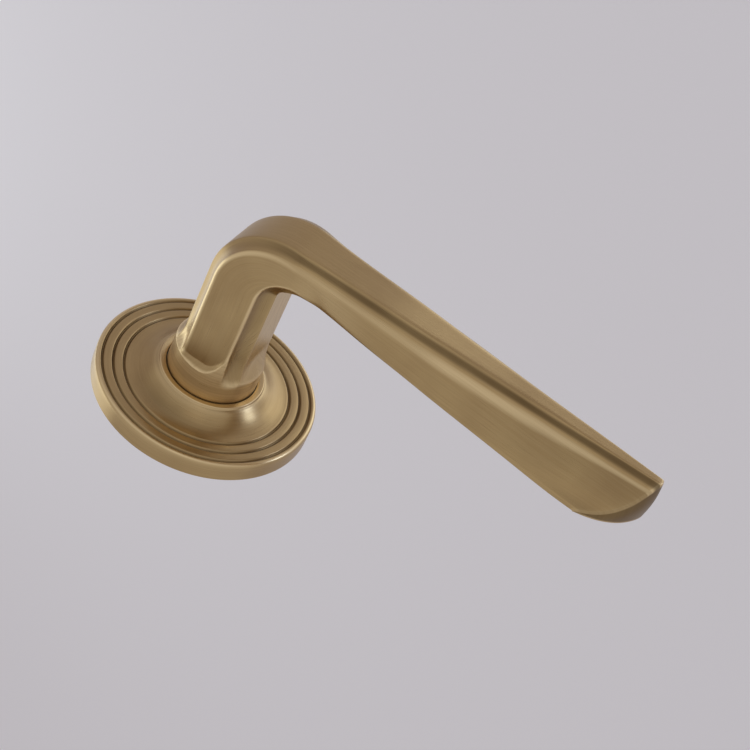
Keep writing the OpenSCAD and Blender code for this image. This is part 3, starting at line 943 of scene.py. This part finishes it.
def maths(tree, operation, a, b):
    """The result of a sum or product of two sockets or values."""
    node = tree.nodes.new("ShaderNodeMath")
    node.operation = operation
    feed(tree, node.inputs[0], a)
    feed(tree, node.inputs[1], b)
    return node.outputs[0]


def streaks(tree, uv_map, across, along, detail=4.0):
    """Noise that is drawn out along the V direction of a map, like brush lines."""
    place = tree.nodes.new("ShaderNodeUVMap")
    place.uv_map = uv_map
    scaled = add(tree, "Mapping", Vector=place.outputs["UV"], Scale=(across, along, 1.0))
    noise = add(tree, "TexNoise", Vector=scaled.outputs["Vector"], Scale=1.0, Detail=detail, Roughness=0.6)
    return noise.outputs["Fac"]


def blotches(tree, scale, detail=3.0):
    """Soft noise without a direction."""
    place = tree.nodes.new("ShaderNodeTexCoord").outputs["Object"]
    noise = add(tree, "TexNoise", Vector=place, Scale=scale, Detail=detail, Roughness=0.55)
    return noise.outputs["Fac"]


def start_material(name):
    """A material with one Principled shader and nothing else."""
    material = bpy.data.materials.new(name)
    material.use_nodes = True
    tree = material.node_tree
    tree.nodes.clear()
    shader = tree.nodes.new("ShaderNodeBsdfPrincipled")
    out = tree.nodes.new("ShaderNodeOutputMaterial")
    tree.links.new(shader.outputs["BSDF"], out.inputs["Surface"])
    return material, tree, shader


BRASS_MID = (0.445, 0.298, 0.132)
BRASS_LIGHT = (0.56, 0.40, 0.20)
BRASS_BROWN = (0.295, 0.18, 0.083)
# Colour of patina and painted shade.
BRASS_DARK = (0.05, 0.026, 0.008)
# Colour of wear and painted highlights.
BRASS_HIGHLIGHT_AND_WEAR = (0.80, 0.61, 0.34)


def shade(tree, name):
    """The value of one of the mesh's shades."""
    node = tree.nodes.new("ShaderNodeAttribute")
    node.attribute_name = name
    return node.outputs["Fac"]


def brush_lines(tree, turned, across, along, around):
    """Brush lines along the neck and grip, and round the turned parts. The scales count per map unit."""
    straight = streaks(tree, "along", across, along)
    circular = streaks(tree, "around", across, around)
    return mixed(tree, turned, straight, circular, "FLOAT")


def brush_direction(tree, uv_map):
    """The direction of the brushing, taken from a map."""
    tangent = tree.nodes.new("ShaderNodeTangent")
    tangent.direction_type = "UV_MAP"
    tangent.uv_map = uv_map
    return tangent.outputs["Tangent"]


def antique_brass(name):
    """Brushed antique brass: fine and broad brush lines, a brown bloom, darker patina and painted shade,
    lighter wear and painted highlights.
    """
    material, tree, shader = start_material(name)
    turned = shade(tree, "turned")
    fine = brush_lines(tree, turned, 900.0, 9.0, 5.0)
    broad = brush_lines(tree, turned, 160.0, 2.2, 1.4)
    cloud = blotches(tree, 38.0)
    # Colour: mid to light brass by the broad lines, then the brown bloom, the fine lines, wear and painted
    # highlights, and patina and painted shade.
    bloom = ramp(tree, cloud, [(0.35, grey(0.0)), (0.7, grey(1.0))])
    base = blend_colour(tree, broad, BRASS_MID, BRASS_LIGHT)
    base = blend_colour(tree, maths(tree, "MULTIPLY", bloom, 0.45), base, BRASS_BROWN)
    lines = ramp(tree, fine, [(0.3, grey(0.62)), (0.7, grey(1.0))])
    base = blend_colour(tree, 0.5, base, lines, "MULTIPLY")
    # Wear and painted highlights, a little uneven by the broad lines.
    lightened = maths(tree, "MULTIPLY", shade(tree, "wear"), maths(tree, "ADD", broad, 0.25))
    base = blend_colour(tree, lightened, base, BRASS_HIGHLIGHT_AND_WEAR)
    # Patina and painted shade, uneven by the soft noise.
    uneven = maths(tree, "ADD", maths(tree, "MULTIPLY", cloud, 0.5), 0.4)
    dark = maths(tree, "MULTIPLY", shade(tree, "cavity"), uneven)
    base = blend_colour(tree, dark, base, BRASS_DARK)
    tree.links.new(base, shader.inputs["Base Color"])
    # Roughness, and the direction and height of the brushing.
    rough = add(tree, "MapRange", Value=fine, i1=0.3, i2=0.7, i3=0.25, i4=0.36)
    rough = maths(tree, "ADD", rough.outputs["Result"], maths(tree, "MULTIPLY", bloom, 0.05))
    tree.links.new(rough, shader.inputs["Roughness"])
    shader.inputs["Metallic"].default_value = 1.0
    shader.inputs["Anisotropic"].default_value = 0.55
    straight, circular = brush_direction(tree, "along"), brush_direction(tree, "around")
    brush = mixed(tree, turned, straight, circular, "VECTOR")
    tree.links.new(brush, shader.inputs["Tangent"])
    bump = add(tree, "Bump", Height=fine, Strength=0.12, Distance=0.00006)
    tree.links.new(bump.outputs["Normal"], shader.inputs["Normal"])
    return material


def plated_metal(name, colours, rough, grain):
    """Plated or phosphated steel: mottled colour, uneven roughness and a slight grain."""
    material, tree, shader = start_material(name)
    cloud = blotches(tree, grain)
    speck = blotches(tree, grain * 14, 2.0)
    base = ramp(tree, cloud, [(0.3, colours[0]), (0.52, colours[1]), (0.72, colours[2])])
    specks = ramp(tree, speck, [(0.35, grey(0.7)), (0.6, grey(1.0))])
    base = blend_colour(tree, 0.35, base, specks, "MULTIPLY")
    tree.links.new(base, shader.inputs["Base Color"])
    value = add(tree, "MapRange", Value=speck, i1=0.3, i2=0.7, i3=rough - 0.06, i4=rough + 0.1)
    tree.links.new(value.outputs["Result"], shader.inputs["Roughness"])
    shader.inputs["Metallic"].default_value = 1.0
    bump = add(tree, "Bump", Height=speck, Strength=0.15, Distance=0.00005)
    tree.links.new(bump.outputs["Normal"], shader.inputs["Normal"])
    return material


def nylon(name, dark, light):
    """Nylon in two close shades, with a little light passing into it."""
    material, tree, shader = start_material(name)
    cloud = blotches(tree, 120.0)
    base = ramp(tree, cloud, [(0.3, dark), (0.7, light)])
    tree.links.new(base, shader.inputs["Base Color"])
    shader.inputs["Roughness"].default_value = 0.42
    shader.inputs["Subsurface Weight"].default_value = 0.2
    shader.inputs["Subsurface Scale"].default_value = 0.001
    bump = add(tree, "Bump", Height=blotches(tree, 1500.0), Strength=0.1, Distance=0.00004)
    tree.links.new(bump.outputs["Normal"], shader.inputs["Normal"])
    return material


brass = antique_brass("antique_brass")
ZINC_COLOURS = [(0.52, 0.53, 0.55), (0.62, 0.63, 0.65), (0.7, 0.71, 0.72)]
YELLOW_COLOURS = [(0.5, 0.42, 0.2), (0.56, 0.5, 0.3), (0.52, 0.48, 0.38)]
BLACK_COLOURS = [(0.1, 0.1, 0.1), (0.15, 0.15, 0.155), (0.2, 0.2, 0.2)]
zinc = plated_metal("zinc_plate", ZINC_COLOURS, 0.3, 90.0)
yellow = plated_metal("yellow_passivate", YELLOW_COLOURS, 0.32, 70.0)
black = plated_metal("phosphated_steel", BLACK_COLOURS, 0.45, 160.0)
white = nylon("natural_nylon", (0.66, 0.63, 0.54), (0.76, 0.74, 0.66))
umber = nylon("dark_nylon", (0.02, 0.014, 0.009), (0.035, 0.025, 0.016))

NODE_MATERIALS = {
    "spindle": zinc, "spindle_grub_screw": black, "rose_guide_ring": umber, "cover_snap_ring": black,
    "mounting_plate": yellow, "support_studs": zinc, "stud_nuts": zinc, "stud_lock_washers": black,
    "bearing_bush": white, "spring_driver": zinc, "return_spring": black, "stop_pins": zinc,
    "wave_washer": black, "thrust_washer": zinc, "circlip": black,
}
for node_name, material in NODE_MATERIALS.items():
    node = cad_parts[node_name]
    if not node.material_slots:
        node.data.materials.append(material)
    for place in node.material_slots:
        place.material = material

lever = make_lever()
lever.data.materials.append(brass)
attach(lever, "lever")
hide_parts("lever")

rose = make_rose()
rose.data.materials.append(brass)
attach(rose, "rose")
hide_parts("rose_cover")


# ---- Stage: a pale floor well below the handle, an even pale room and soft lights ----
FLOOR_DROP = 0.3
FLOOR_HALF = 6.0
FLOOR_COLOUR = (0.775, 0.737, 0.75, 1)
ROOM_COLOUR = (0.97, 0.965, 1.0, 1)
ROOM_STRENGTH = 0.66
# The camera's place in metres and its turn in degrees.
CAMERA_PLACE = (-0.107387, -0.341911, 0.350105)
CAMERA_TURN = (-32.426, 27.876, -156.656)
MIDDLE = (cad_box[0] + cad_box[1]) / 2


def towards(azimuth, elevation):
    """Unit vector; azimuth 0 is the front (-Y), and 90 is +X."""
    a, e = math.radians(azimuth), math.radians(elevation)
    return Vector((math.sin(a) * math.cos(e), -math.cos(a) * math.cos(e), math.sin(e)))


def make_floor():
    """A wide pale floor, well below the handle."""
    low = cad_box[0].z - FLOOR_DROP
    mesh = bpy.data.meshes.new("floor")
    corners = [(-1, -1), (1, -1), (1, 1), (-1, 1)]
    mesh.from_pydata([(x * FLOOR_HALF, y * FLOOR_HALF, low) for x, y in corners], [], [[0, 1, 2, 3]])
    floor = bpy.data.objects.new("floor", mesh)
    bpy.context.scene.collection.objects.link(floor)
    material, _, shader = start_material("pale_floor")
    shader.inputs["Base Color"].default_value = FLOOR_COLOUR
    shader.inputs["Roughness"].default_value = 0.8
    shader.inputs["Specular IOR Level"].default_value = 0.1
    mesh.materials.append(material)


def soft_light(name, azimuth, elevation, distance, size, glow, colour):
    """A softbox that faces the object's middle. Glow is how bright its face is, on the same scale as the
    room's strength."""
    data = bpy.data.lights.new(name, "AREA")
    data.shape = "RECTANGLE"
    data.size, data.size_y = size
    data.energy = glow * math.pi * size[0] * size[1]
    data.color = colour
    light = bpy.data.objects.new(name, data)
    place = towards(azimuth, elevation)
    light.location = MIDDLE + place * distance
    light.rotation_mode = "QUATERNION"
    light.rotation_quaternion = place.to_track_quat("Z", "Y")
    light.visible_camera = False
    bpy.context.scene.collection.objects.link(light)


make_floor()
soft_light("left_softbox", 122, -2, 0.6, (0.3, 0.6), 1.2, (0.85, 0.97, 1.0))
soft_light("right_softbox", -55, -27, 0.6, (0.17, 0.17), 5.0, (0.55, 0.70, 1.0))
soft_light("front_softbox", -7, 23, 0.9, (0.3, 0.12), 0.5, (1.0, 0.97, 0.93))
soft_light("low_softbox", -20, -70, 0.25, (0.2, 0.2), 0.9, (0.85, 0.95, 1.0))

world = bpy.data.worlds.new("studio")
world.use_nodes = True
room = world.node_tree.nodes["Background"]
room.inputs["Color"].default_value = ROOM_COLOUR
room.inputs["Strength"].default_value = ROOM_STRENGTH
bpy.context.scene.world = world

camera_data = bpy.data.cameras.new("camera")
camera_data.lens = 96.0
camera_data.sensor_width = 36.0
camera_data.clip_start = 0.01
camera = bpy.data.objects.new("camera", camera_data)
camera.location = CAMERA_PLACE
camera.rotation_euler = Euler([math.radians(a) for a in CAMERA_TURN], "XYZ")
bpy.context.scene.collection.objects.link(camera)
bpy.context.scene.camera = camera

bpy.context.scene.view_settings.view_transform = "Standard"
